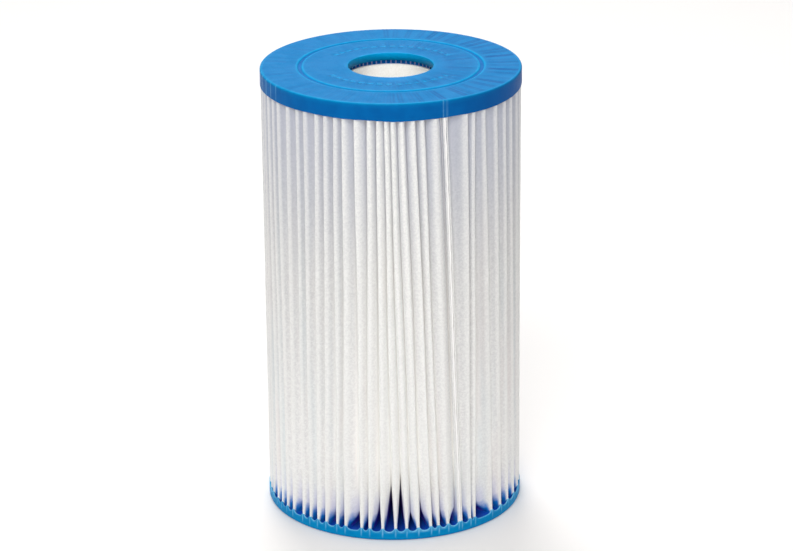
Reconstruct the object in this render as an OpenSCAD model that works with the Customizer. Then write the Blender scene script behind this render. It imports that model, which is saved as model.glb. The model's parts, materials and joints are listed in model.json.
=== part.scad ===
// Pleated filter cartridge for a small pool or spa pump.
// Frame: origin at the centre of the bottom face, +Z along the axis, up.
// The seam between the two ends of the filter sheet faces front right.

/* [Cartridge] */
// Overall height, face to face
total_h = 257; // [200:1:320]
// Outside diameter of both end caps
cap_d = 146; // [142:0.5:160]
// Diameter of the bore through each end cap
bore_d = 47.6; // [46:0.1:48.4]

/* [End caps] */
// Height of the top cap's rim
top_rim_h = 9.6; // [8.5:0.1:14]
// Thickness of the top cap where it overhangs the core
top_lip_h = 4.3; // [3:0.1:4.8]
// Height of the bottom cap's rim
bottom_rim_h = 5.4; // [5:0.1:9]
// Thickness of the bottom cap where the core stands on it
bottom_lip_h = 3.2; // [2.6:0.1:4]
// Thickness of the bottom cap below the pleats
bottom_floor_h = 2.2; // [1.5:0.1:2.5]
// Radius of the rounding on the caps' outer edges
edge_r = 1.1; // [0.5:0.1:1.3]
// Size of the chamfer at the mouth of each bore
mouth_chamfer = 0.4; // [0.2:0.1:0.8]
// Diameter of the ring groove in each cap's outer face, at its middle
groove_d = 101.6; // [80:0.2:120]
// Width of the ring groove
groove_w = 2.6; // [1.5:0.1:4]
// Depth of the ring groove
groove_depth = 0.9; // [0.4:0.1:1.2]

/* [Pleated media] */
// Number of pleats, one of them the seam pleat
pleats = 62; // [50:1:64]
// Thickness of the filter sheet
sheet_t = 0.6; // [0.4:0.05:0.65]
// Diameter over the outer folds
media_d = 145.2; // [143:0.2:145.4]
// Width of an outer fold
outer_fold_w = 1.9; // [1.6:0.1:2.4]
// Width of an inner fold
inner_fold_w = 1.5; // [1.4:0.05:1.6]
// Direction of the seam pleat, counter-clockwise from +X
seam_az = -62; // [-180:1:180]

/* [Seam] */
// Thickness of the adhesive between the sheet's two ends
seam_t = 1.5; // [0.8:0.1:1.8]
// How far the adhesive reaches in from the outer folds
seam_depth = 9; // [5:1:15]

/* [Core tube] */
// Bore of the core tube
core_bore_d = 50; // [49.4:0.1:50.4]
// Wall of the core tube
core_wall = 1.6; // [1.2:0.1:1.6]
// Distance from the top face down to the core's end
core_drop = 7.1; // [6:0.1:7.8]
// Height of the plain collar at each end of the core
collar_h = 17; // [10:1:30]
// Rows of windows along the core
window_rows = 14; // [8:1:16]
// Windows around the core, an even number
window_columns = 12; // [8:2:14]
// Width of the ribs and rings between the windows
rib_w = 3.8; // [3:0.1:5]

/* [Hidden] */
$fn = 180;
eps = 0.01;
edge_steps = 5;

cap_r = cap_d / 2;
bore_r = bore_d / 2;
groove_in = (groove_d - groove_w) / 2;
groove_out = (groove_d + groove_w) / 2;

core_r = core_bore_d / 2 + core_wall;
core_z0 = bottom_lip_h;
core_z1 = total_h - core_drop;
window_pitch = (core_z1 - core_z0 - 2 * collar_h + rib_w) / window_rows;
window_h = window_pitch - rib_w;
window_w = PI * core_bore_d / window_columns - rib_w;

// The inner folds stand just clear of the core, and the cap's recess just clears the folds.
media_r = media_d / 2;
fold_r = core_r + 0.2;
recess_r = fold_r + 0.2;
media_z0 = bottom_floor_h;
media_h = total_h - top_lip_h - media_z0;

// A point at radius r in direction az, moved sideways by w.
function at(az, r, w) = r * [cos(az), sin(az)] + w * [-sin(az), cos(az)];

// Direction of a pleat. Half numbers are the inner folds between two pleats.
function pleat_az(k) = seam_az + k * 360 / pleats;

// One face of the sheet, from one end round to the other: in along a flank, across the
// inner fold and out along the next flank. out and inn are [radius, half width] of the
// folds, and end_w is how far the sheet's end is from the middle of the seam pleat.
function sheet_face(out, inn, end_w) = [
    for (k = [0 : pleats - 1])
        each [
            k == 0 ? at(pleat_az(0), media_r, end_w) : at(pleat_az(k), out[0], out[1]),
            at(pleat_az(k + 0.5), inn[0], -inn[1]),
            at(pleat_az(k + 0.5), inn[0], inn[1]),
            k == pleats - 1 ? at(pleat_az(0), media_r, -end_w)
                            : at(pleat_az(k + 1), out[0], -out[1])
        ]
];

function backwards(list) = [for (i = [len(list) - 1 : -1 : 0]) list[i]];

// A cap's outer face in profile, from its rounded edge in to the mouth of the bore. z is the
// height of the face, and way is 1 where it faces up and -1 where it faces down.
function face_profile(z, way) = [
    for (i = [0 : edge_steps])
        let (a = 90 * i / edge_steps)
        [cap_r - edge_r + edge_r * cos(a), z - way * edge_r * (1 - sin(a))],
    [groove_out, z],
    [groove_out, z - way * groove_depth],
    [groove_in, z - way * groove_depth],
    [groove_in, z],
    [bore_r + mouth_chamfer, z],
    [bore_r, z - way * mouth_chamfer]
];

// The sheet's two faces: the one that shows between the pleats, and the one towards the core.
outward = sheet_face([media_r, outer_fold_w / 2],
                     [fold_r + sheet_t, inner_fold_w / 2 - sheet_t],
                     seam_t / 2 + sheet_t);
inward = sheet_face([media_r - sheet_t, outer_fold_w / 2 - sheet_t],
                    [fold_r, inner_fold_w / 2],
                    seam_t / 2);

// Inner corners of the adhesive, on the two flanks that it joins.
last = len(inward) - 1;
seam_share = seam_depth / (media_r - fold_r);
seam_corners = [inward[0] + (inward[1] - inward[0]) * seam_share,
                inward[last] + (inward[last - 1] - inward[last]) * seam_share];

// The sheet and its seam together, which leave one slot in a cap.
module cast_slot(z0, h) {
    translate([0, 0, z0])
        linear_extrude(h)
            difference() {
                polygon(outward);
                polygon([seam_corners[0], for (i = [1 : last - 1]) inward[i], seam_corners[1]]);
            }
}

// The cap is cast round the ends of the pleats and the core, so their shapes are cut out of it.
module bottom_end_cap() {
    profile = concat(
        face_profile(0, -1),
        [[bore_r, bottom_lip_h], [core_r, bottom_lip_h]],
        [[core_r, bottom_rim_h], [cap_r, bottom_rim_h]]
    );
    color("deepskyblue")
        difference() {
            rotate_extrude()
                polygon(profile);
            cast_slot(media_z0, bottom_rim_h);
        }
}

module core_tube() {
    color("ivory")
        difference() {
            translate([0, 0, core_z0])
                cylinder(h = core_z1 - core_z0, r = core_r);
            translate([0, 0, core_z0 - eps])
                cylinder(h = core_z1 - core_z0 + 2 * eps, r = core_bore_d / 2);
            for (row = [0 : window_rows - 1], column = [0 : window_columns / 2 - 1])
                translate([0, 0, core_z0 + collar_h + row * window_pitch])
                    rotate([0, 0, column * 360 / window_columns])
                        translate([-cap_r, -window_w / 2, 0])
                            cube([cap_d, window_w, window_h]);
        }
}

// One long sheet, folded into pleats and bent round until its two ends meet at the seam.
module pleated_media() {
    color("white")
        translate([0, 0, media_z0])
            linear_extrude(media_h)
                polygon(concat(outward, backwards(inward)));
}

module media_seam() {
    color("gainsboro")
        translate([0, 0, media_z0])
            linear_extrude(media_h)
                polygon([inward[0], seam_corners[0], seam_corners[1], inward[last]]);
}

module top_end_cap() {
    rim_z = total_h - top_rim_h;
    lip_z = total_h - top_lip_h;
    profile = concat(
        face_profile(total_h, 1),
        [[bore_r, lip_z], [recess_r, lip_z], [recess_r, core_z1], [core_r, core_z1]],
        [[core_r, rim_z], [cap_r, rim_z]]
    );
    color("deepskyblue")
        difference() {
            rotate_extrude()
                polygon(profile);
            cast_slot(rim_z - eps, lip_z - rim_z + eps);
        }
}

bottom_end_cap();
core_tube();
pleated_media();
media_seam();
top_end_cap();
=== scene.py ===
import json
import math

import bpy
import numpy as np
from mathutils import Matrix, Vector


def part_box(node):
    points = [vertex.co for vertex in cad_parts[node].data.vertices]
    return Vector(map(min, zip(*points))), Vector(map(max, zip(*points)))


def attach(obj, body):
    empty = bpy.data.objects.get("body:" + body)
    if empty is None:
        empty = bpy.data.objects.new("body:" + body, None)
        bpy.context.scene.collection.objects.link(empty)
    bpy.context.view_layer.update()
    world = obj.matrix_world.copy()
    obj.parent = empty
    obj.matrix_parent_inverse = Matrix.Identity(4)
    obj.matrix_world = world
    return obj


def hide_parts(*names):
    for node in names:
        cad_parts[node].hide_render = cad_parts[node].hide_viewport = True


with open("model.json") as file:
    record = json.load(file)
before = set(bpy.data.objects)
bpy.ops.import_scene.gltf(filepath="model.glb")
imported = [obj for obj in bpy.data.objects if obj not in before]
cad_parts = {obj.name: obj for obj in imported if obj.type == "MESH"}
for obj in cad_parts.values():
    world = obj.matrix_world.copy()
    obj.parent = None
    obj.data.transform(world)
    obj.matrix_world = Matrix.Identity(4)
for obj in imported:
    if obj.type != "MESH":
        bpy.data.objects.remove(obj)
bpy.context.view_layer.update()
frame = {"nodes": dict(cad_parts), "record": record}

# ---------------------------------------------------------------- sizes, in millimetres
# Directions are to the right of the front, which faces -Y. They are in radians, but for the
# table of the front pleats, which is in degrees.

MM = 0.001
TURN = 2 * math.pi
RNG = np.random.default_rng(62)


def node_size(node):
    """(outer radius, lowest, highest) of a CAD node. The radius is the least that its box
    allows, so that nothing round can go past the box."""
    low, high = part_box(node)
    return min(high.x, high.y, -low.x, -low.y) / MM, low.z / MM, high.z / MM


def mount(name):
    """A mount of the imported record."""
    return next(m for m in frame["record"]["mounts"] if m["name"] == name)


CAP_R, TOP_RIM_Z, TOP_Z = node_size("top_end_cap")
BOTTOM_RIM_Z = node_size("bottom_end_cap")[2]
MEDIA_R, MEDIA_Z0, MEDIA_Z1 = node_size("pleated_media")
CORE_R, CORE_Z0, CORE_Z1 = node_size("core_tube")
BORE_R = mount("top_bore")["dims"]["r_mm"]

EDGE_R = 1.1  # rounding of the caps' outer edges
MOUTH_CHAMFER = 0.4
GROOVE_R = 50.8
GROOVE_W = 2.6
GROOVE_DEPTH = 0.9
FOLD_R = CORE_R + 0.2  # the inner folds stand just clear of the core
RECESS_R = FOLD_R + 0.2

# The sheet and its pleats
PLEATS = 62
SHEET_T = 0.6
OUTER_FOLD = 0.48  # half width of an outer fold, to the middle of the sheet
INNER_FOLD = 0.45
SEAM_HALF = 1.05  # from the seam's middle to the middle of each end of the sheet
SEAM_DEPTH = 9.0
SEAM_INSET = 0.15  # the adhesive stops this far behind the folds
BULGE_DEPTH = 4.2  # a swollen flank meets its neighbour about this far behind the fold
LEAN = 0.8  # how far the pleats lean over, so that one flank takes most of the room
PINCH_H = 14.0  # the caps hold the pleats flat over about this height
MIN_ROOM = 0.001  # left between two flanks that would touch
EVENING = 0.5  # how evenly the inner folds are spaced: 0 as the outer ones are, 1 evenly

# Where the folds of the front pleats meet the bottom cap and the top cap, in degrees. The
# pleats round the back are spaced nearly evenly.
FRONT_PLEATS = (
    (-84.5, -85.5), (-78.5, -79.5), (-73.5, -74.5), (-66.5, -68.5), (-61.5, -63), (-56.5, -58),
    (-51.5, -50.5), (-44.5, -44), (-40, -39.5), (-35.5, -33), (-31, -28.5), (-25.3, -23.6),
    (-21.2, -19.7), (-13.6, -14.2), (-9.8, -8.2), (-4, -4.3), (1.8, -0.9), (6.8, 2),
    (12.1, 6), (17.9, 11), (21.5, 15), (26.1, 21), (32.2, 25), (37.7, 36), (40.3, 40),
    (51.3, 46), (58.3, 54), (65.3, 61), (72.9, 67.5), (81.4, 76),
)
SEAM_PLEAT = FRONT_PLEATS.index((32.2, 25))


def all_pleats():
    """Directions of all the outer folds at the bottom and at the top, each from left to right."""
    front = np.array(FRONT_PLEATS, float)
    back = PLEATS - len(front)
    way = (np.arange(1, back + 1) + RNG.uniform(-0.22, 0.22, back)) / (back + 1)
    rest = front[-1] + way[:, None] * (front[0] + 360 - front[-1])
    rest += RNG.uniform(-0.6, 0.6, rest.shape)
    return np.concatenate([front, rest])


PLEAT_ENDS = np.radians(all_pleats())


def smooth(x, low=0.0, high=1.0):
    """From 0 at low to 1 at high, level at both ends."""
    x = np.clip((x - low) / (high - low), 0, 1)
    return x * x * (3 - 2 * x)


def bell(x, middle, width):
    """1 at the middle, falling off to both sides."""
    return np.exp(-((x - middle) / width) ** 2)


# ---------------------------------------------------------------- meshes


def make_piece(name, points, faces, replaces=(), attributes=None):
    """A smooth-shaded mesh piece from points in millimetres, riding on the one body."""
    mesh = bpy.data.meshes.new(name)
    mesh.from_pydata(np.asarray(points) * MM, [], faces)
    mesh.polygons.foreach_set("use_smooth", np.ones(len(faces), bool))
    for key, values in (attributes or {}).items():
        mesh.attributes.new(key, "FLOAT", "POINT").data.foreach_set("value", values)
    mesh.update()
    piece = bpy.data.objects.new(name, mesh)
    bpy.context.scene.collection.objects.link(piece)
    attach(piece, "root")
    for node in replaces:
        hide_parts(node)
    return piece


def ring_faces(rings, around):
    """Quads of a closed tube: rings of around points each, the last ring joined to the first."""
    ring, point = np.mgrid[0:rings, 0:around]
    ring_2, point_2 = (ring + 1) % rings, (point + 1) % around
    corners = (ring * around + point, ring * around + point_2,
               ring_2 * around + point_2, ring_2 * around + point)
    return np.stack(corners, -1).reshape(-1, 4).tolist()


def in_space(radius, direction, height):
    """Points from cylindrical values; direction is in radians from the front."""
    return np.stack(np.broadcast_arrays(
        radius * np.sin(direction), -radius * np.cos(direction), height), -1)


# ---------------------------------------------------------------- the folded sheet

# Points along a flank, from its outer fold, 1, to its inner fold, 0
FLANK = np.array((1.0, 0.988, 0.972, 0.95, 0.92, 0.88, 0.82, 0.70, 0.45, 0.0))
ROWS = 28
# Corners of the rounded folds, in shares of a fold's half width
OUTER_ACROSS, OUTER_BACK = 0.7, 0.3
INNER_ACROSS, INNER_BACK = 0.75, 0.34
SWELL_POWER = 1.5  # how steeply a flank swells behind its fold
SWELL_GAIN = 1.25  # a flank is fully swollen a little before it is free of the caps
OPEN_AT_TOP = 0.5  # share of its swelling that a flank keeps right up to the top cap
FRONT_WIDTH = 0.4  # the pleats within about this direction of the front get the widest, brightest painted highlight


def fold_direction(height):
    """Directions of the outer folds at each height, one row for each."""
    up = np.clip((height - BOTTOM_RIM_Z) / (TOP_RIM_Z - BOTTOM_RIM_Z), 0, 1)[:, None]
    phase, size = SWAY
    sway = size * np.sin(TURN * up + phase) * np.sin(math.pi * up)
    return PLEAT_ENDS[:, 0] + (PLEAT_ENDS[:, 1] - PLEAT_ENDS[:, 0]) * up + sway


# Phase and size of each fold's sideways sway
SWAY = RNG.uniform(0, TURN, PLEATS), np.radians(RNG.uniform(0.1, 0.45, PLEATS))
# Each flank's own swelling: the flanks to the right of the folds, then those to their left
SWELL = RNG.uniform(0.8, 1.25, (2, PLEATS))
# Half the space kept between the two flanks that face each other across each gap
CLEARANCE = RNG.uniform(0.015, 0.04, PLEATS)
# Height over which each gap is held flat, at the bottom cap and then at the top cap. The gaps
# at the very front open latest at the bottom.
PINCH = PINCH_H * RNG.uniform(0.55, 1.2, (2, PLEATS))
PINCH[0] *= 1 + 2.6 * bell(PLEAT_ENDS[:, 0], -0.02, 0.08)
PINCH[1] *= 0.6
# How far each outer fold draws in between the caps
RECEDE = RNG.uniform(-0.05, 0.15, PLEATS)
# Which flank takes the room in the gap to the right of each fold: 1 the one on the gap's left,
# -1 the one on its right
FACING = (PLEAT_ENDS.mean(1) + math.pi) % TURN - math.pi
LEANING = -np.tanh((FACING - 0.03) / 0.12)
LEANING = LEAN * LEANING * RNG.uniform(0.75, 1.1, PLEATS)
# The seam pleat itself stays flat
LEANING[SEAM_PLEAT - 1] = 1
LEANING[SEAM_PLEAT] = -1


def openness(height):
    """From 0 at the bottom cap, where the pleats are held flat, to 1 where they swell freely
    and down again to OPEN_AT_TOP at the top cap."""
    low = (height - BOTTOM_RIM_Z)[:, None] / PINCH[0]
    high = (TOP_RIM_Z - height)[:, None] / PINCH[1]
    return np.clip(low, 0, 1) * (OPEN_AT_TOP + (1 - OPEN_AT_TOP) * np.clip(high, 0, 1))


def sheet_path(height):
    """The middle of the sheet in plan at each height, from one end to the other, starting at
    the seam and going right: its radius, its direction and how much painted highlight it gets."""
    fold = fold_direction(height)
    next_fold = np.concatenate([fold[:, 1:], fold[:, :1] + TURN], 1)
    even = np.arange(PLEATS) * TURN / PLEATS
    even = even + (fold + next_fold).mean() / 2 - even.mean()
    inner = (1 - EVENING) * (fold + next_fold) / 2 + EVENING * even
    open_share = openness(height)
    fold_r = MEDIA_R - SHEET_T / 2 - RECEDE * open_share
    inner_r = FOLD_R + SHEET_T / 2

    # The two flanks that face each other across the gap to the right of each fold
    is_seam = np.arange(PLEATS) == SEAM_PLEAT
    before_seam = np.arange(PLEATS) == SEAM_PLEAT - 1

    def flank(tip, tip_r, side, seam):
        half = np.where(seam, SEAM_HALF, OUTER_FOLD)
        back = np.where(seam, -SHEET_T / 2, OUTER_FOLD)
        low_r = inner_r + INNER_FOLD
        high_r = tip_r - back
        radius = low_r + (high_r - low_r)[..., None] * FLANK
        start = inner - side * INNER_FOLD / low_r
        end = tip + side * half / high_r
        return radius, start[..., None] + (end - start)[..., None] * FLANK

    next_r = np.roll(fold_r, -1, 1)
    right_r, right = flank(fold, fold_r, 1, is_seam)
    left_r, left = flank(next_fold, next_r, -1, before_seam)
    radius = (right_r + left_r) / 2
    room = (left - right) * radius - SHEET_T - 2 * CLEARANCE[:, None]
    room = np.maximum(room, MIN_ROOM)
    share = (1 + LEANING) / 2

    def swell(tip_r, this_r, seam, amount, own_room):
        depth = (tip_r[..., None] - this_r) - np.where(seam, SEAM_DEPTH, 0)[:, None]
        reach = BULGE_DEPTH / amount[:, None]
        shape = 1 - (1 - np.clip(depth / reach, 0, 1)) ** SWELL_POWER
        return own_room * shape * np.minimum(SWELL_GAIN * open_share, 1)[..., None]

    right_room = room * share[:, None]
    left_room = room * (1 - share[:, None])
    right += swell(fold_r, right_r, is_seam, SWELL[0], right_room) / right_r
    left -= swell(next_r, left_r, before_seam, np.roll(SWELL[1], -1), left_room) / left_r

    # The right half of each outer fold, the inner fold, and the left half of the next fold
    tip = np.stack([np.zeros_like(fold), OUTER_ACROSS * OUTER_FOLD / fold_r], -1) + fold[..., None]
    tip_r = fold_r[..., None] - np.array([0, OUTER_BACK * OUTER_FOLD])
    next_tip = next_fold[..., None] - OUTER_ACROSS * OUTER_FOLD / next_r[..., None]
    next_tip_r = next_r[..., None] - OUTER_BACK * OUTER_FOLD
    across = np.array([-INNER_ACROSS, 0, INNER_ACROSS]) * INNER_FOLD
    back = np.array([INNER_BACK, 0, INNER_BACK]) * INNER_FOLD
    turn_in = inner[..., None] + across / inner_r
    turn_in_r = inner_r + back + 0 * turn_in

    front = bell(FACING, 0, FRONT_WIDTH)
    next_front = np.roll(front, -1)

    def painted_highlight(this_r, front):
        """The painted highlight near a fold, brightest and widest on the front pleats."""
        depth = fold_r.mean() - this_r - 0.3
        reach = 0.7 + 2.8 * front
        strength = 0.6 + 0.4 * front
        return np.clip(1 - depth / reach[:, None], 0, 1) * strength[:, None]

    # Painted highlight along the sheet, as shares of the crest white
    crest = np.concatenate([
        painted_highlight(tip_r, front), painted_highlight(right_r, front), 0 * turn_in,
        painted_highlight(left_r, next_front)[..., ::-1], painted_highlight(next_tip_r, next_front)], -1)
    direction = np.concatenate([tip, right, turn_in, left[..., ::-1], next_tip], -1)
    radius = np.concatenate([tip_r, right_r, turn_in_r, left_r[..., ::-1], next_tip_r], -1)

    def opened(values, add=0.0):
        """Starts the sheet at the seam pleat and leaves that pleat's fold out."""
        values = np.concatenate([values[:, SEAM_PLEAT:], values[:, :SEAM_PLEAT] + add], 1)
        return values.reshape(len(height), -1)[:, 2:-1]

    return opened(radius), opened(direction, TURN), opened(crest)


def folded_sheet():
    """The filter sheet as a closed solid one sheet thick, folded round the core from end to end,
    and the length of its folded path at its foot."""
    rise = (1 - np.cos(np.linspace(0, math.pi, ROWS))) / 2
    height = MEDIA_Z0 + (MEDIA_Z1 - MEDIA_Z0) * rise
    radius, direction, crest = sheet_path(height)
    middle = in_space(radius, direction, height[:, None])
    along = np.gradient(middle[..., :2], axis=1)
    along /= np.linalg.norm(along, axis=-1, keepdims=True)
    normal = np.stack([along[..., 1], -along[..., 0], 0 * along[..., 0]], -1)
    half = normal * SHEET_T / 2
    columns = middle.shape[1]
    # Round each row: out along one face and back along the other
    loop = np.concatenate([middle + half, (middle - half)[:, ::-1]], 1)
    around = 2 * columns
    faces = [f[::-1] for f in ring_faces(ROWS, around)[: (ROWS - 1) * around]]
    for row in (0, ROWS - 1):
        first = row * around
        for i in range(columns - 1):
            quad = [first + i, first + i + 1, first + around - 2 - i, first + around - 1 - i]
            faces.append(quad[::-1] if row else quad)
    # The painted highlight goes on both faces
    crest = np.concatenate([crest, crest[:, ::-1]], 1)
    piece = make_piece("folded_sheet", loop.reshape(-1, 3), faces,
                       ["pleated_media"], {"crest": crest.ravel()})
    length = np.linalg.norm(np.diff(middle[0], axis=0), axis=-1).sum()
    return piece, length


SEAM_ROWS = 60
SEAM_SIDES = 16
SEAM_FULLNESS = 0.4, 0.6  # powers that shape the adhesive's section, across and in depth
SEAM_RAGGED = 0.6  # how far the adhesive's outer half moves in and out


def seam_bead():
    """The adhesive between the sheet's two ends, a little uneven where it was squeezed."""
    height = np.linspace(MEDIA_Z0, MEDIA_Z1, SEAM_ROWS)
    lean = fold_direction(height)[:, SEAM_PLEAT]
    turn = np.linspace(0, TURN, SEAM_SIDES, endpoint=False)
    half_t = SEAM_HALF - SHEET_T / 2
    depth = SEAM_DEPTH - SEAM_INSET
    # A flat oval section with full sides
    across = half_t * np.sign(np.sin(turn)) * np.abs(np.sin(turn)) ** SEAM_FULLNESS[0]
    back = depth / 2 * (1 - np.sign(np.cos(turn)) * np.abs(np.cos(turn)) ** SEAM_FULLNESS[1])
    squeeze = 0.5 * np.sin(height * 0.31) * np.sin(height * 0.083 + 1)
    squeeze = squeeze + 0.2 * np.sin(height * 0.9)
    ragged = squeeze[:, None] * (back < depth / 2)
    radius = MEDIA_R - SEAM_INSET - back + ragged * SEAM_RAGGED
    direction = lean[:, None] + across / radius
    points = in_space(radius, direction, height[:, None]).reshape(-1, 3)
    last_ring = (SEAM_ROWS - 1) * SEAM_SIDES
    faces = ring_faces(SEAM_ROWS, SEAM_SIDES)[:last_ring]
    faces += [list(range(SEAM_SIDES))[::-1], list(range(last_ring, last_ring + SEAM_SIDES))]
    return make_piece("seam_bead", points, [f[::-1] for f in faces], ["media_seam"])


# ---------------------------------------------------------------- the end caps

STEPS = 20  # points between one pleat and the next, round a cap
# How far each casting climbs the pleats, and how far its surface sinks between them
BOTTOM_WICK, BOTTOM_DROP = 1.9, 2.2
TOP_WICK, TOP_DROP = 0.12, 0.5
WICK_REACH = 0.9  # the casting climbs a pleat over about this distance
LIP_R = 0.5  # rounding of the casting's free edge
BOTTOM_EDGE_Z = BOTTOM_RIM_Z - 0.5  # the bottom casting's free edge, between the pleats
# How each free edge rises and falls round the cap: size, number of waves and phase
BOTTOM_WAVES = (0.15, 3, 1), (0.1, 7, 0)
TOP_WAVES = (0.1, 5, 0), (0.08, 11, 2)
# Depths behind a cap's side at which the surface round the pleats is shaped
POOL_IN = np.array((0.75, 1, 1.3, 1.7, 2.2, 2.9, 3.8, 5, 6.5, 8.5, 11, 14, 18, 23, 29, 36, 42,
                    45.5))
# Radii of points on a cap's face, outside and inside its groove
FACE_OUTSIDE = (71, 69.5, 66, 62, 58, 55.5, 53.5)
FACE_INSIDE = (48, 45, 42, 33, 29, 26)
GROOVE_SLOPE = 0.3  # half width of the groove's sloping sides
CORNER = 0.12  # how far the corners of the groove and of the bore are rounded
TICKS = 44  # plain sunk ticks round the bore
TICK_R = 37.0
TICK_W = 2.9
TICK_SLOPE = 0.2
TICK_DEPTH = 0.25
GHOST_DEPTH = 0.15  # of the marks that the pleats' ends leave in a face


def cap_directions(end):
    """Directions round a cap, STEPS of them from each pleat to the next, how far each is from
    the nearest fold, in radians, and that fold's half width."""
    fold = PLEAT_ENDS[:, end]
    gap = np.diff(np.concatenate([fold, fold[:1] + TURN]))
    share = np.arange(STEPS) / STEPS
    direction = fold[:, None] + gap[:, None] * share
    off = gap[:, None] * np.minimum(share, 1 - share)
    nearest = (np.arange(PLEATS)[:, None] + (share > 0.5)) % PLEATS
    half = np.where(nearest == SEAM_PLEAT, SEAM_HALF, OUTER_FOLD) + SHEET_T / 2
    return direction.ravel(), off.ravel(), half.ravel()


def climbed(radius, off, half, wick):
    """How far the casting has climbed towards the pleats at a radius."""
    beside = np.maximum(off * radius - half, 0)
    past = np.maximum(radius - MEDIA_R, 0)
    return wick * np.exp(-np.hypot(beside, past) / WICK_REACH)


def face_line():
    """A cap's outer face in profile, from its rounded edge in to the bore, as (radius, depth
    below the face)."""
    turn = np.linspace(0, math.pi / 2, 7)
    edge = [(CAP_R - EDGE_R + EDGE_R * math.cos(a), EDGE_R * (1 - math.sin(a))) for a in turn]
    out, inn = GROOVE_R + GROOVE_W / 2, GROOVE_R - GROOVE_W / 2
    slope, deep = GROOVE_SLOPE, GROOVE_DEPTH
    groove = [(out + slope, 0), (out, CORNER), (out - slope, deep - CORNER),
              (out - 2 * slope, deep), (inn + 2 * slope, deep),
              (inn + slope, deep - CORNER), (inn, CORNER), (inn - slope, 0)]
    outside = [(r, 0) for r in FACE_OUTSIDE]
    tick_edges = [TICK_R + side * (TICK_W / 2 - back) for side in (1, -1)
                  for back in (0, TICK_SLOPE)]
    inside = [(r, 0) for r in sorted([*FACE_INSIDE, TICK_R, *tick_edges], reverse=True)]
    mouth = [(BORE_R + MOUTH_CHAMFER, 0), (BORE_R + CORNER, CORNER), (BORE_R, MOUTH_CHAMFER)]
    return np.array(edge + outside + groove + inside + mouth)


def ghost_lines(direction, off, radius):
    """Faint radial lines in a cap's face, where the pleats' ends print through it: strongest
    towards the right, and in two bands, outside and inside the groove."""
    line = bell(off * radius, 0.9, 0.7)
    line = line * (0.6 + 0.4 * np.sin(9 * direction + 1) * np.sin(23 * direction))
    band = smooth(radius, 53.5, 56) * (1 - smooth(radius, 70.8, 72))
    band = band + 0.7 * smooth(radius, 28, 32) * (1 - smooth(radius, 45, 48))
    return line * band * (0.3 + 0.7 * smooth(np.sin(direction), -0.2, 0.7))


def ticks(direction, radius):
    """Sunk ticks in a ring between the groove and the bore, left out at the two sides."""
    turn = direction * TICKS / TURN
    mark = smooth(np.abs(turn % 1 - 0.5), 0.14, 0.24)
    front_and_back = smooth(np.abs(np.cos(direction)), 0.45, 0.5)
    return mark * front_and_back * smooth(TICK_W / 2 - np.abs(radius - TICK_R), 0, TICK_SLOPE)


def lip_profile(off, half, level, way, wick, drop):
    """From a cap's side over its free edge and in along the surface the pleats stand in.
    level is the edge's height at mid gap, way is 1 where it faces up, wick is how far the
    casting climbs the pleats, and drop is how far it lies lower behind the edge."""
    off, half = off[:, None], half[:, None]
    turn = np.linspace(0, math.pi / 2, 5)
    rim_r = CAP_R - LIP_R
    crest = climbed(rim_r, off, half, wick)
    lip_z = crest - LIP_R * (1 - np.sin(turn))
    pool_r = CAP_R - POOL_IN
    sunk = drop * smooth(POOL_IN, 0.6, 2.4)
    pool_z = climbed(pool_r, off, half, wick) - sunk
    side_z = np.full_like(crest, -1.2)
    radius = np.concatenate([[CAP_R], rim_r + LIP_R * np.cos(turn), pool_r])
    height = np.concatenate([side_z, lip_z, pool_z], 1)
    return np.broadcast_to(radius, height.shape), level[:, None] + way * height


def wavy(level, direction, waves):
    """The height of a free edge that rises and falls round a cap."""
    for size, number, phase in waves:
        level = level + size * np.sin(number * direction + phase)
    return level


def closed(parts, directions):
    """Joins stretches of outline, each (radius, height) with or without a row per direction."""
    rows = [[np.broadcast_to(np.asarray(v, float), (directions, np.shape(v)[-1])) for v in part]
            for part in parts]
    return [np.concatenate(values, 1) for values in zip(*rows, strict=True)]


def bottom_profile(direction, off, half):
    face = face_line()[::-1]
    relief = GHOST_DEPTH * ghost_lines(direction[:, None], off[:, None], face[:, 0]) / 2
    level = wavy(BOTTOM_EDGE_Z, direction, BOTTOM_WAVES)
    seat = [(CORE_R, BOTTOM_RIM_Z), (CORE_R, CORE_Z0), (BORE_R, CORE_Z0)]
    return closed([
        (face[:, 0], face[:, 1] + relief),
        ([CAP_R], [EDGE_R + 0.9]),
        lip_profile(off, half, level, 1, BOTTOM_WICK, BOTTOM_DROP),
        tuple(zip(*seat, strict=True)),
    ], len(direction))


def top_profile(direction, off, half):
    face = face_line()[::-1]
    relief = -TICK_DEPTH * ticks(direction[:, None], face[:, 0])
    relief = relief - GHOST_DEPTH * ghost_lines(direction[:, None], off[:, None], face[:, 0])
    level = wavy(TOP_RIM_Z, direction, TOP_WAVES)
    # The free edge hangs a little lower at the front, and from there round to the right
    level = level - 0.35 * bell(direction, 0.05, 0.12)
    level = level - 0.5 * smooth(direction, -0.2, 0.1) * (1 - smooth(direction, 1.1, 1.6))
    recess = [(CORE_R, TOP_RIM_Z), (CORE_R, CORE_Z1), (RECESS_R, CORE_Z1),
              (RECESS_R, MEDIA_Z1), (BORE_R, MEDIA_Z1)]
    return closed([
        (face[:, 0], TOP_Z - face[:, 1] + relief),
        ([CAP_R, CAP_R], [TOP_Z - 3, TOP_Z - 6]),
        lip_profile(off, half, level, -1, TOP_WICK, TOP_DROP),
        tuple(zip(*recess, strict=True)),
    ], len(direction))


def side_of(radius):
    """1 on a cap's side and 0 behind it."""
    return smooth(radius, CAP_R - 0.9, CAP_R - 0.1)


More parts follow.
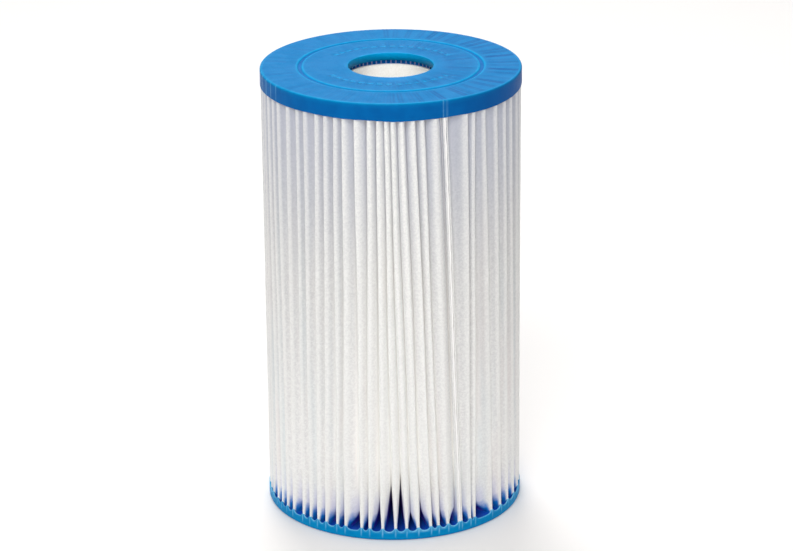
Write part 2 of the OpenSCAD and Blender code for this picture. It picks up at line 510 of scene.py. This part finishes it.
def bottom_marks(direction, off, half, radius, height):
    """Where the bottom casting shows white folds through its side, where its side is paler, with
    only a little of it over the sheet, where a painted highlight runs along the crest of its free
    edge, and where a painted shade tint lies on its surface deep between the pleats."""
    from_fold = (off * CAP_R)[:, None]
    fold = bell(from_fold, 0, 0.34)
    seam = bell(from_fold, SEAM_HALF, 0.34)
    fade = 0.8 * smooth(height, 1.0, 4.5)
    is_seam = half[:, None] > OUTER_FOLD + SHEET_T / 2
    crest = BOTTOM_EDGE_Z + climbed(CAP_R - LIP_R, off, half, BOTTOM_WICK)[:, None]
    # Painted highlight along the crest of the free edge, carried by both the fold and the paler
    # blue
    edge = bell(height, crest, 0.36) * smooth(radius, CAP_R - 1.1, CAP_R - 0.6)
    fold = np.where(is_seam, seam, fold) * fade * side_of(radius)
    # The last mark is a painted shade tint on the surface sunk between the pleats
    return {"fold": np.maximum(fold, 0.85 * edge),
            "thin": np.maximum(0.5 * side_of(radius), edge),
            "pool": smooth(CAP_R - radius, 0.9, 1.8) * smooth(height, EDGE_R, EDGE_R + 1)}


def top_marks(direction, off, half, radius, height):
    """The same for the top casting, which is thicker: only the seam and a few folds at its
    left show through its side. Its paler blue is painted light: a sheen on the face, highlights
    at its edge, groove and ticks, and light on the bore's wall. Its darker blue marks the pleats'
    ends in the face and is painted shade towards the right side."""
    from_fold = (off * CAP_R)[:, None]
    left = 0.5 * smooth(-np.sin(direction), 0.75, 0.95)[:, None]
    fold = bell(from_fold, 0, 0.5) * left
    seam = 0.4 * bell(from_fold, SEAM_HALF, 0.36)
    is_seam = half[:, None] > OUTER_FOLD + SHEET_T / 2
    facing_up = smooth(height, TOP_Z - 1.2, TOP_Z - 0.2)
    edge = smooth(radius, CAP_R - 1.6, CAP_R - 0.7) * smooth(height, TOP_Z - 1.6, TOP_Z - 0.6)
    groove = bell(np.abs(radius - GROOVE_R), GROOVE_W / 2, 0.5)
    marks = ticks(direction[:, None], radius)
    wall = smooth(BORE_R + 0.6 - radius, 0, 0.5)
    # Paler blue, all painted light here: sheen on the face, highlights at the edge, groove and
    # ticks, light on the bore's wall
    thin = 0.28 * facing_up + 0.3 * edge + 0.55 * groove * facing_up + 0.3 * marks + 0.5 * wall
    streak = ghost_lines(direction[:, None], off[:, None], radius) * facing_up
    # Painted shade: the casting's side darkens towards the right
    right = smooth(np.sin(direction), 0.1, 1)[:, None]
    return {"fold": np.where(is_seam, seam, fold) * side_of(radius),
            "thin": np.clip(thin, 0, 1),
            "ghost": np.maximum(streak, 0.65 * right * side_of(radius))}


def cap_piece(name, node, end, profile, marks):
    """A casting turned round the axis. end is 0 for the bottom cap and 1 for the top cap,
    profile gives its closed outline at each direction, as radii and heights in the shape
    (directions, points), and marks its attributes at the same points."""
    direction, off, half = cap_directions(end)
    radius, height = profile(direction, off, half)
    points = in_space(radius, direction[:, None], height)
    faces = ring_faces(*radius.shape)
    attributes = {key: values.astype(np.float32).ravel()
                  for key, values in marks(direction, off, half, radius, height).items()}
    return make_piece(name, points.reshape(-1, 3), faces, [node], attributes)


# ---------------------------------------------------------------- materials


class Nodes:
    """A short way to write a material's nodes."""

    def __init__(self, name):
        self.material = bpy.data.materials.new(name)
        self.material.use_nodes = True
        self.tree = self.material.node_tree
        self.tree.nodes.clear()
        self.shader = self.add("ShaderNodeBsdfPrincipled")
        out = self.add("ShaderNodeOutputMaterial")
        self.tree.links.new(self.shader.outputs[0], out.inputs["Surface"])
        self.place = self.add("ShaderNodeTexCoord").outputs["Object"]

    def add(self, kind, **settings):
        node = self.tree.nodes.new(kind)
        for key, value in settings.items():
            setattr(node, key, value)
        return node

    def put(self, socket, value):
        """Links an output to a socket, or sets its value."""
        if isinstance(value, bpy.types.NodeSocket):
            self.tree.links.new(value, socket)
        else:
            socket.default_value = value

    def math(self, operation, *values):
        node = self.add("ShaderNodeMath", operation=operation)
        for socket, value in zip(node.inputs, values):
            self.put(socket, value)
        return node.outputs[0]

    def noise(self, size_mm, detail=3.0, roughness=0.55, stretch=(1, 1, 1), distortion=0.0):
        """Noise from 0 to 1 with features of about size_mm."""
        scaled = self.add("ShaderNodeMapping")
        self.put(scaled.inputs["Vector"], self.place)
        scaled.inputs["Scale"].default_value = stretch
        node = self.add("ShaderNodeTexNoise")
        self.put(node.inputs["Vector"], scaled.outputs[0])
        node.inputs["Scale"].default_value = 1 / (size_mm * MM)
        node.inputs["Detail"].default_value = detail
        node.inputs["Roughness"].default_value = roughness
        node.inputs["Distortion"].default_value = distortion
        return node.outputs["Fac"]

    def range(self, value, low, high, new_low=0.0, new_high=1.0, smoothly=True):
        """Takes the range from low to high to the one from new_low to new_high, and holds
        it there beyond both."""
        node = self.add("ShaderNodeMapRange")
        node.interpolation_type = "SMOOTHSTEP" if smoothly else "LINEAR"
        for socket, v in zip(node.inputs, (value, low, high, new_low, new_high)):
            self.put(socket, v)
        return node.outputs[0]

    def range_mm(self, value, low, high, *new, **settings):
        """The same for a length in metres, with low and high in millimetres."""
        return self.range(value, low * MM, high * MM, *new, **settings)

    def mix(self, share, first, second):
        node = self.add("ShaderNodeMix", data_type="RGBA")
        colours = [s for s in node.inputs if s.type == "RGBA"]
        self.put(node.inputs[0], share)
        self.put(colours[0], first)
        self.put(colours[1], second)
        return next(s for s in node.outputs if s.type == "RGBA")

    def attribute(self, name):
        """A mesh attribute, which reads 0 on a mesh that hasn't got it."""
        return self.add("ShaderNodeAttribute", attribute_name=name).outputs["Fac"]

    def axis(self, name):
        split = self.add("ShaderNodeSeparateXYZ")
        self.put(split.inputs[0], self.place)
        return split.outputs[name]

    def radius(self):
        """Distance from the axis, in metres."""
        squares = [self.math("POWER", self.axis(name), 2.0) for name in "XY"]
        return self.math("SQRT", self.math("ADD", *squares))

    def bump(self, height, distance_mm, strength=1.0, normal=None):
        node = self.add("ShaderNodeBump")
        node.inputs["Strength"].default_value = strength
        node.inputs["Distance"].default_value = distance_mm * MM
        self.put(node.inputs["Height"], height)
        if normal is not None:
            self.put(node.inputs["Normal"], normal)
        return node.outputs[0]

    def set(self, **values):
        """Links or sets the shader's own sockets, with _ for a space in their names."""
        for key, value in values.items():
            self.put(self.shader.inputs[key.replace("_", " ")], value)


def srgb(red, green, blue):
    """A colour given as 8-bit sRGB, as Blender's linear colour."""
    def linear(v):
        v /= 255
        return v / 12.92 if v <= 0.04045 else ((v + 0.055) / 1.055) ** 2.4
    return (linear(red), linear(green), linear(blue), 1.0)


BLUE = srgb(0, 104, 177)
DEEP_BLUE = srgb(0, 96, 168)
# paler blue: the bottom casting's side, and painted highlights, sheen and light
THIN_AND_LIT_BLUE = srgb(0, 168, 224)
# darker blue: the marks of the pleats' ends, and painted shade
STREAK_AND_SHADE_BLUE = srgb(0, 68, 140)
# painted shade tint where the surface sinks between the pleats
POOL_SHADE_BLUE = srgb(14, 92, 214)
# white folds under the surface, and a painted highlight along the bottom crest
FOLD_AND_HIGHLIGHT_BLUE = srgb(144, 214, 246)
# painted sheen where the elastomer faces up
PAINTED_SHEEN = srgb(214, 222, 230)
FABRIC_DIM = srgb(231, 230, 230)
FABRIC_LIGHT = srgb(248, 248, 246)
FABRIC_COOL = srgb(222, 233, 236)
FABRIC_WARM = srgb(238, 229, 226)
# painted light deeper in the folds
CREVICE_LIGHT = srgb(255, 254, 252)
SHADE_DIM = srgb(182, 182, 184)
SHADE_LIGHT = srgb(198, 198, 199)
# painted bluish shade towards the top
TOP_SHADE = srgb(180, 186, 206)
# painted highlight on the folds
CREST = srgb(255, 255, 252)
HAZE = srgb(196, 198, 240)
# blue on the flanks just above the bottom casting
LOW_FLANK_BLUE = srgb(16, 130, 218)
# painted shade deep in the gaps between the lowest pleats
DEEP_GAP_SHADE = srgb(118, 84, 220)
# purple-blue on the inner folds in the top casting
RECESS_BLUE = srgb(104, 108, 190)
FABRIC_GLOW = srgb(250, 246, 238)
MELT_DIM = srgb(240, 238, 236)
MELT_LIGHT = srgb(252, 251, 250)
MELT_GLOW = (1, 1, 1, 1)
PLASTIC_DIM = srgb(244, 240, 232)
PLASTIC_LIGHT = srgb(254, 252, 247)
TABLE = (0.84, 0.81, 0.785, 1.0)
TABLE_GLOW = (0.8, 0.9, 1, 1)


def blue_elastomer():
    """Cast blue elastomer: smooth, a little cloudy, paler on the bottom casting's side, where only
    a little of it covers the white sheet, and where a white fold lies just under its surface.
    Paler
    blue is also painted light: a sheen on the top face, highlights along the free edges, the top
    edge, the groove and the ticks, and light on the bore's wall. Darker blue marks the pleats'
    ends in the top face and is painted shade towards the top casting's right side; a violet
    painted shade tint lies where the bottom surface sinks between the pleats; and a faint pale
    painted sheen lies wherever it faces up."""
    n = Nodes("blue_elastomer")
    cloud = n.range(n.noise(9, detail=4), 0.3, 0.7)
    fine = n.noise(0.8, detail=5, roughness=0.6)
    base = n.mix(cloud, DEEP_BLUE, BLUE)
    # Paler blue: the bottom casting's side, and painted highlights, sheen and light on the top
    # casting
    thin = n.math("MULTIPLY", n.attribute("thin"), n.range(n.noise(4), 0.25, 0.7, 0.85, 1.1))
    base = n.mix(thin, base, THIN_AND_LIT_BLUE)
    # Darker blue: the pleats' end marks, and painted shade on the top casting's right side
    base = n.mix(n.math("MULTIPLY", n.attribute("ghost"), 0.8), base, STREAK_AND_SHADE_BLUE)
    # Painted shade tint: a violet blue where the surface sinks between the pleats
    base = n.mix(n.math("MULTIPLY", n.attribute("pool"), 0.85), base, POOL_SHADE_BLUE)
    # White folds under the surface, and the painted highlight along the bottom casting's crest
    fold = n.math("MULTIPLY", n.attribute("fold"), n.range(n.noise(5), 0.3, 0.65, 0.45, 0.95))
    base = n.mix(fold, base, FOLD_AND_HIGHLIGHT_BLUE)
    # Painted sheen: a faint pale colour wherever the surface faces up
    facing = n.add("ShaderNodeSeparateXYZ")
    n.put(facing.inputs[0], n.add("ShaderNodeNewGeometry").outputs["Normal"])
    upward = n.range(facing.outputs["Z"], 0.5, 1)
    painted_sheen = n.math("MULTIPLY", upward, n.range(cloud, 0, 1, 0.02, 0.035))
    n.set(Base_Color=n.mix(painted_sheen, base, PAINTED_SHEEN))
    n.set(Roughness=n.range(fine, 0.3, 0.7, 0.36, 0.5))
    n.set(Normal=n.bump(n.noise(2.2, detail=6, roughness=0.62), 0.05, 0.5))
    n.set(Specular_IOR_Level=0.04)
    n.set(Subsurface_Weight=0.05, Subsurface_Radius=(0.2, 0.7, 1.0), Subsurface_Scale=1.5 * MM)
    return n.material


def filter_fabric():
    """Bonded white fibre: matt, mottled and fuzzy, with painted shade that dims it and turns it
    bluish towards the top, painted light that whitens it deeper in the folds, and a painted
    highlight along the folds, brightest on the front pleats. Near the bottom casting its flanks
    take a pale violet tint and, just above the casting, blue, with violet painted shade deep in
    the gaps; its inner folds are purple-blue where they stand in the top casting. A faint painted
    glow between the pleats stands for light through the sheet."""
    n = Nodes("filter_fabric")
    mottle = n.range(n.noise(1.3, detail=4, roughness=0.7), 0.33, 0.67)
    fibre = n.noise(0.55, detail=4, roughness=0.75, stretch=(1, 1, 0.35), distortion=0.6)
    height = n.axis("Z")
    depth = n.math("SUBTRACT", MEDIA_R * MM, n.radius())

    # Mottled white with cool and warm streaks, shaded upwards
    white = n.mix(mottle, FABRIC_DIM, FABRIC_LIGHT)
    cool = n.range(n.noise(15, detail=2, stretch=(1, 1, 0.12)), 0.45, 0.7)
    white = n.mix(n.math("MULTIPLY", cool, 0.5), white, FABRIC_COOL)
    warm = n.range(n.noise(11, detail=2, stretch=(1, 1, 0.1)), 0.5, 0.7)
    white = n.mix(n.math("MULTIPLY", warm, 0.5), white, FABRIC_WARM)
    # Painted light: whiter deeper in the folds, against the shade in the crevices
    white = n.mix(n.range_mm(depth, 1.5, 5), white, CREVICE_LIGHT)
    upper = n.range_mm(height, 0.05 * TOP_Z, TOP_Z, smoothly=False)
    white = n.mix(upper, white, n.mix(mottle, SHADE_DIM, SHADE_LIGHT))
    # Painted shade: a bluish grey towards the top, under the blue cap
    white = n.mix(n.range_mm(height, 0.55 * TOP_Z, TOP_Z, 0, 0.6), white, TOP_SHADE)
    # Painted highlight along the folds, from the crest attribute
    crest = n.math("MULTIPLY", n.attribute("crest"), n.range(mottle, 0, 1, 0.8, 1))
    white = n.mix(crest, white, CREST)

    # Near the bottom casting, to a ragged level: a pale violet tint on the flanks, blue on them
    # just above the casting, and painted shade deep in the gaps
    ragged = n.math("MULTIPLY", n.math("SUBTRACT", n.noise(3, detail=4), 0.5), 6 * MM)
    level = n.math("ADD", height, ragged)
    low = n.range_mm(level, BOTTOM_RIM_Z + 4, BOTTOM_RIM_Z + 26, 0.55, 0)
    haze = n.math("MULTIPLY", n.range_mm(depth, 0.5, 2), low)
    white = n.mix(haze, white, HAZE)
    # Blue on the flanks just above the bottom casting, leaving the folds white
    lowest = n.range_mm(level, BOTTOM_RIM_Z + 2, BOTTOM_RIM_Z + 10, 1, 0)
    low_flank = n.math("MULTIPLY", lowest, n.range_mm(depth, 0.3, 1.7))
    colour = n.mix(low_flank, white, LOW_FLANK_BLUE)
    # Painted shade: violet deep in the gaps between the lowest pleats
    low = n.range_mm(height, BOTTOM_RIM_Z + 8, BOTTOM_RIM_Z + 22, 0.75, 0)
    deep = n.math("MULTIPLY", n.range_mm(depth, 4, 9), low)
    colour = n.mix(deep, colour, DEEP_GAP_SHADE)
    # Purple-blue on the inner folds where they stand in the top casting
    folds = n.range_mm(n.radius(), FOLD_R + 1, FOLD_R + 3, 1, 0)
    in_recess = n.math("MULTIPLY", folds, n.range_mm(level, CORE_Z1 - 1, CORE_Z1, 0, 0.55))
    n.set(Base_Color=n.mix(in_recess, colour, RECESS_BLUE))

    n.set(Roughness=n.range(fibre, 0.3, 0.7, 0.78, 0.95))
    above = n.range_mm(height, BOTTOM_RIM_Z + 10, BOTTOM_RIM_Z + 45)
    seeping = n.math("MULTIPLY", n.range_mm(depth, 0.6, 3.6, 0, 0.13), above)
    n.set(Emission_Color=FABRIC_GLOW)
    n.set(Emission_Strength=n.math("MULTIPLY", seeping, n.range_mm(depth, 15, 30, 1, 0)))
    n.set(Normal=n.bump(mottle, 0.1, 0.4, n.bump(fibre, 0.06, 0.6)))
    n.set(Subsurface_Weight=0.2, Subsurface_Radius=(1.0, 1.0, 1.0), Subsurface_Scale=1.0 * MM)
    n.set(Specular_IOR_Level=0.2)
    return n.material


def hot_melt():
    """Set hot-melt adhesive: off-white, waxy and uneven, with a faint glow that stands for
    the light inside it."""
    n = Nodes("hot_melt")
    n.set(Base_Color=n.mix(n.noise(3), MELT_DIM, MELT_LIGHT))
    n.set(Roughness=n.range(n.noise(1.5), 0.3, 0.7, 0.35, 0.55))
    n.set(Normal=n.bump(n.noise(1.2, detail=4), 0.15, 0.6))
    n.set(Emission_Color=MELT_GLOW, Emission_Strength=0.15)
    return n.material


def core_plastic():
    """Moulded cream-white plastic with a faint fleck."""
    n = Nodes("core_plastic")
    fleck = n.range(n.noise(0.9, detail=5, roughness=0.7), 0.35, 0.7)
    n.set(Base_Color=n.mix(fleck, PLASTIC_DIM, PLASTIC_LIGHT))
    n.set(Roughness=n.range(n.noise(2), 0.3, 0.7, 0.42, 0.6))
    n.set(Normal=n.bump(n.noise(0.7, detail=4), 0.05, 0.5))
    return n.material


def pale_floor():
    """A white table, lit a little from below so that it stays white."""
    n = Nodes("pale_floor")
    n.set(Base_Color=TABLE, Specular_IOR_Level=0.02)
    n.set(Roughness=n.range(n.noise(60), 0.3, 0.7, 0.4, 0.45))
    n.set(Emission_Color=TABLE_GLOW, Emission_Strength=0.12)
    return n.material


def cover(piece, material):
    piece.data.materials.clear()
    piece.data.materials.append(material)


# ---------------------------------------------------------------- the pieces

sheet, sheet_length = folded_sheet()
cover(sheet, filter_fabric())
seam = seam_bead()
cover(seam, hot_melt())
elastomer = blue_elastomer()
bottom = cap_piece("bottom_casting", "bottom_end_cap", 0, bottom_profile, bottom_marks)
cover(bottom, elastomer)
top = cap_piece("top_casting", "top_end_cap", 1, top_profile, top_marks)
cover(top, elastomer)
cover(frame["nodes"]["core_tube"], core_plastic())

# ---------------------------------------------------------------- floor, light and camera


FLOOR_SIZE = 6.0  # in metres
FLOOR_DROP = 0.1  # in millimetres, so that it doesn't coincide with the cartridge's foot

# Soft lamps, aimed at the cartridge's middle: name, place, size and power
LAMPS = (
    ("back", (-0.15, 0.9, 1.8), 0.6, 19.5),
    ("key", (-0.35, -1.3, 1.75), 0.8, 9),
    ("front", (-0.1, -2.2, 1.35), 0.7, 11.5),
)
# A narrow beam that lights the core through the top bore
BEAM_PLACE = (0.03, -0.95, 1.1)
BEAM_AIM = (0, 4 * MM, (TOP_Z - 6) * MM)
BEAM_R = 20 * MM  # of the circle that it lights
BEAM_POWER = 28

CAMERA_PLACE = (0.0451, -1.6844, 0.7578)
CAMERA_TILT = 20.382  # degrees down
CAMERA_TURN = 1.369  # degrees to its own left
LENS = 143.2
SENSOR = 36.0


def floor():
    mesh = bpy.data.meshes.new("floor")
    s = FLOOR_SIZE / 2
    mesh.from_pydata([(-s, -s, 0), (s, -s, 0), (s, s, 0), (-s, s, 0)], [], [(0, 1, 2, 3)])
    plane = bpy.data.objects.new("floor", mesh)
    plane.location.z = -FLOOR_DROP * MM
    bpy.context.scene.collection.objects.link(plane)
    cover(plane, pale_floor())


def hang(light, place, aim):
    """Puts a light in the scene, facing a point."""
    lamp = bpy.data.objects.new(light.name, light)
    lamp.location = place
    lamp.rotation_euler = (Vector(aim) - Vector(place)).to_track_quat("-Z", "Y").to_euler()
    bpy.context.scene.collection.objects.link(lamp)


def soft_lamp(name, place, size, power):
    light = bpy.data.lights.new(name, "AREA")
    light.shape = "DISK"
    light.size = size
    light.energy = power
    hang(light, place, (0, 0, TOP_Z / 2 * MM))


def bore_beam():
    light = bpy.data.lights.new("into_the_bore", "SPOT")
    light.spot_size = 2 * math.atan(BEAM_R / (Vector(BEAM_AIM) - Vector(BEAM_PLACE)).length)
    light.spot_blend = 0.4
    light.energy = BEAM_POWER
    light.shadow_soft_size = 0.005
    hang(light, BEAM_PLACE, BEAM_AIM)


def surroundings(low, high):
    """Soft white light from all round, brighter from above."""
    world = bpy.data.worlds.new("studio")
    world.use_nodes = True
    tree = world.node_tree
    place = tree.nodes.new("ShaderNodeTexCoord")
    split = tree.nodes.new("ShaderNodeSeparateXYZ")
    ramp = tree.nodes.new("ShaderNodeMapRange")
    ramp.interpolation_type = "SMOOTHSTEP"
    for socket, value in zip(ramp.inputs[1:5], (0.1, 0.8, low, high)):
        socket.default_value = value
    background = tree.nodes["Background"]
    background.inputs["Color"].default_value = (1, 1, 1, 1)
    tree.links.new(place.outputs["Generated"], split.inputs[0])
    tree.links.new(split.outputs["Z"], ramp.inputs["Value"])
    tree.links.new(ramp.outputs[0], background.inputs["Strength"])
    bpy.context.scene.world = world


def camera():
    """A camera that looks along +Y, tilted down and then turned to its own left."""
    data = bpy.data.cameras.new("camera")
    data.lens = LENS
    data.sensor_width = SENSOR
    eye = bpy.data.objects.new("camera", data)
    down = Matrix.Rotation(math.radians(90 - CAMERA_TILT), 4, "X")
    left = Matrix.Rotation(math.radians(CAMERA_TURN), 4, "Y")
    eye.matrix_world = Matrix.Translation(CAMERA_PLACE) @ down @ left
    bpy.context.scene.collection.objects.link(eye)
    bpy.context.scene.camera = eye


floor()
surroundings(0.23, 0.66)
for lamp_values in LAMPS:
    soft_lamp(*lamp_values)
bore_beam()
camera()
bpy.context.scene.view_settings.view_transform = "Standard"
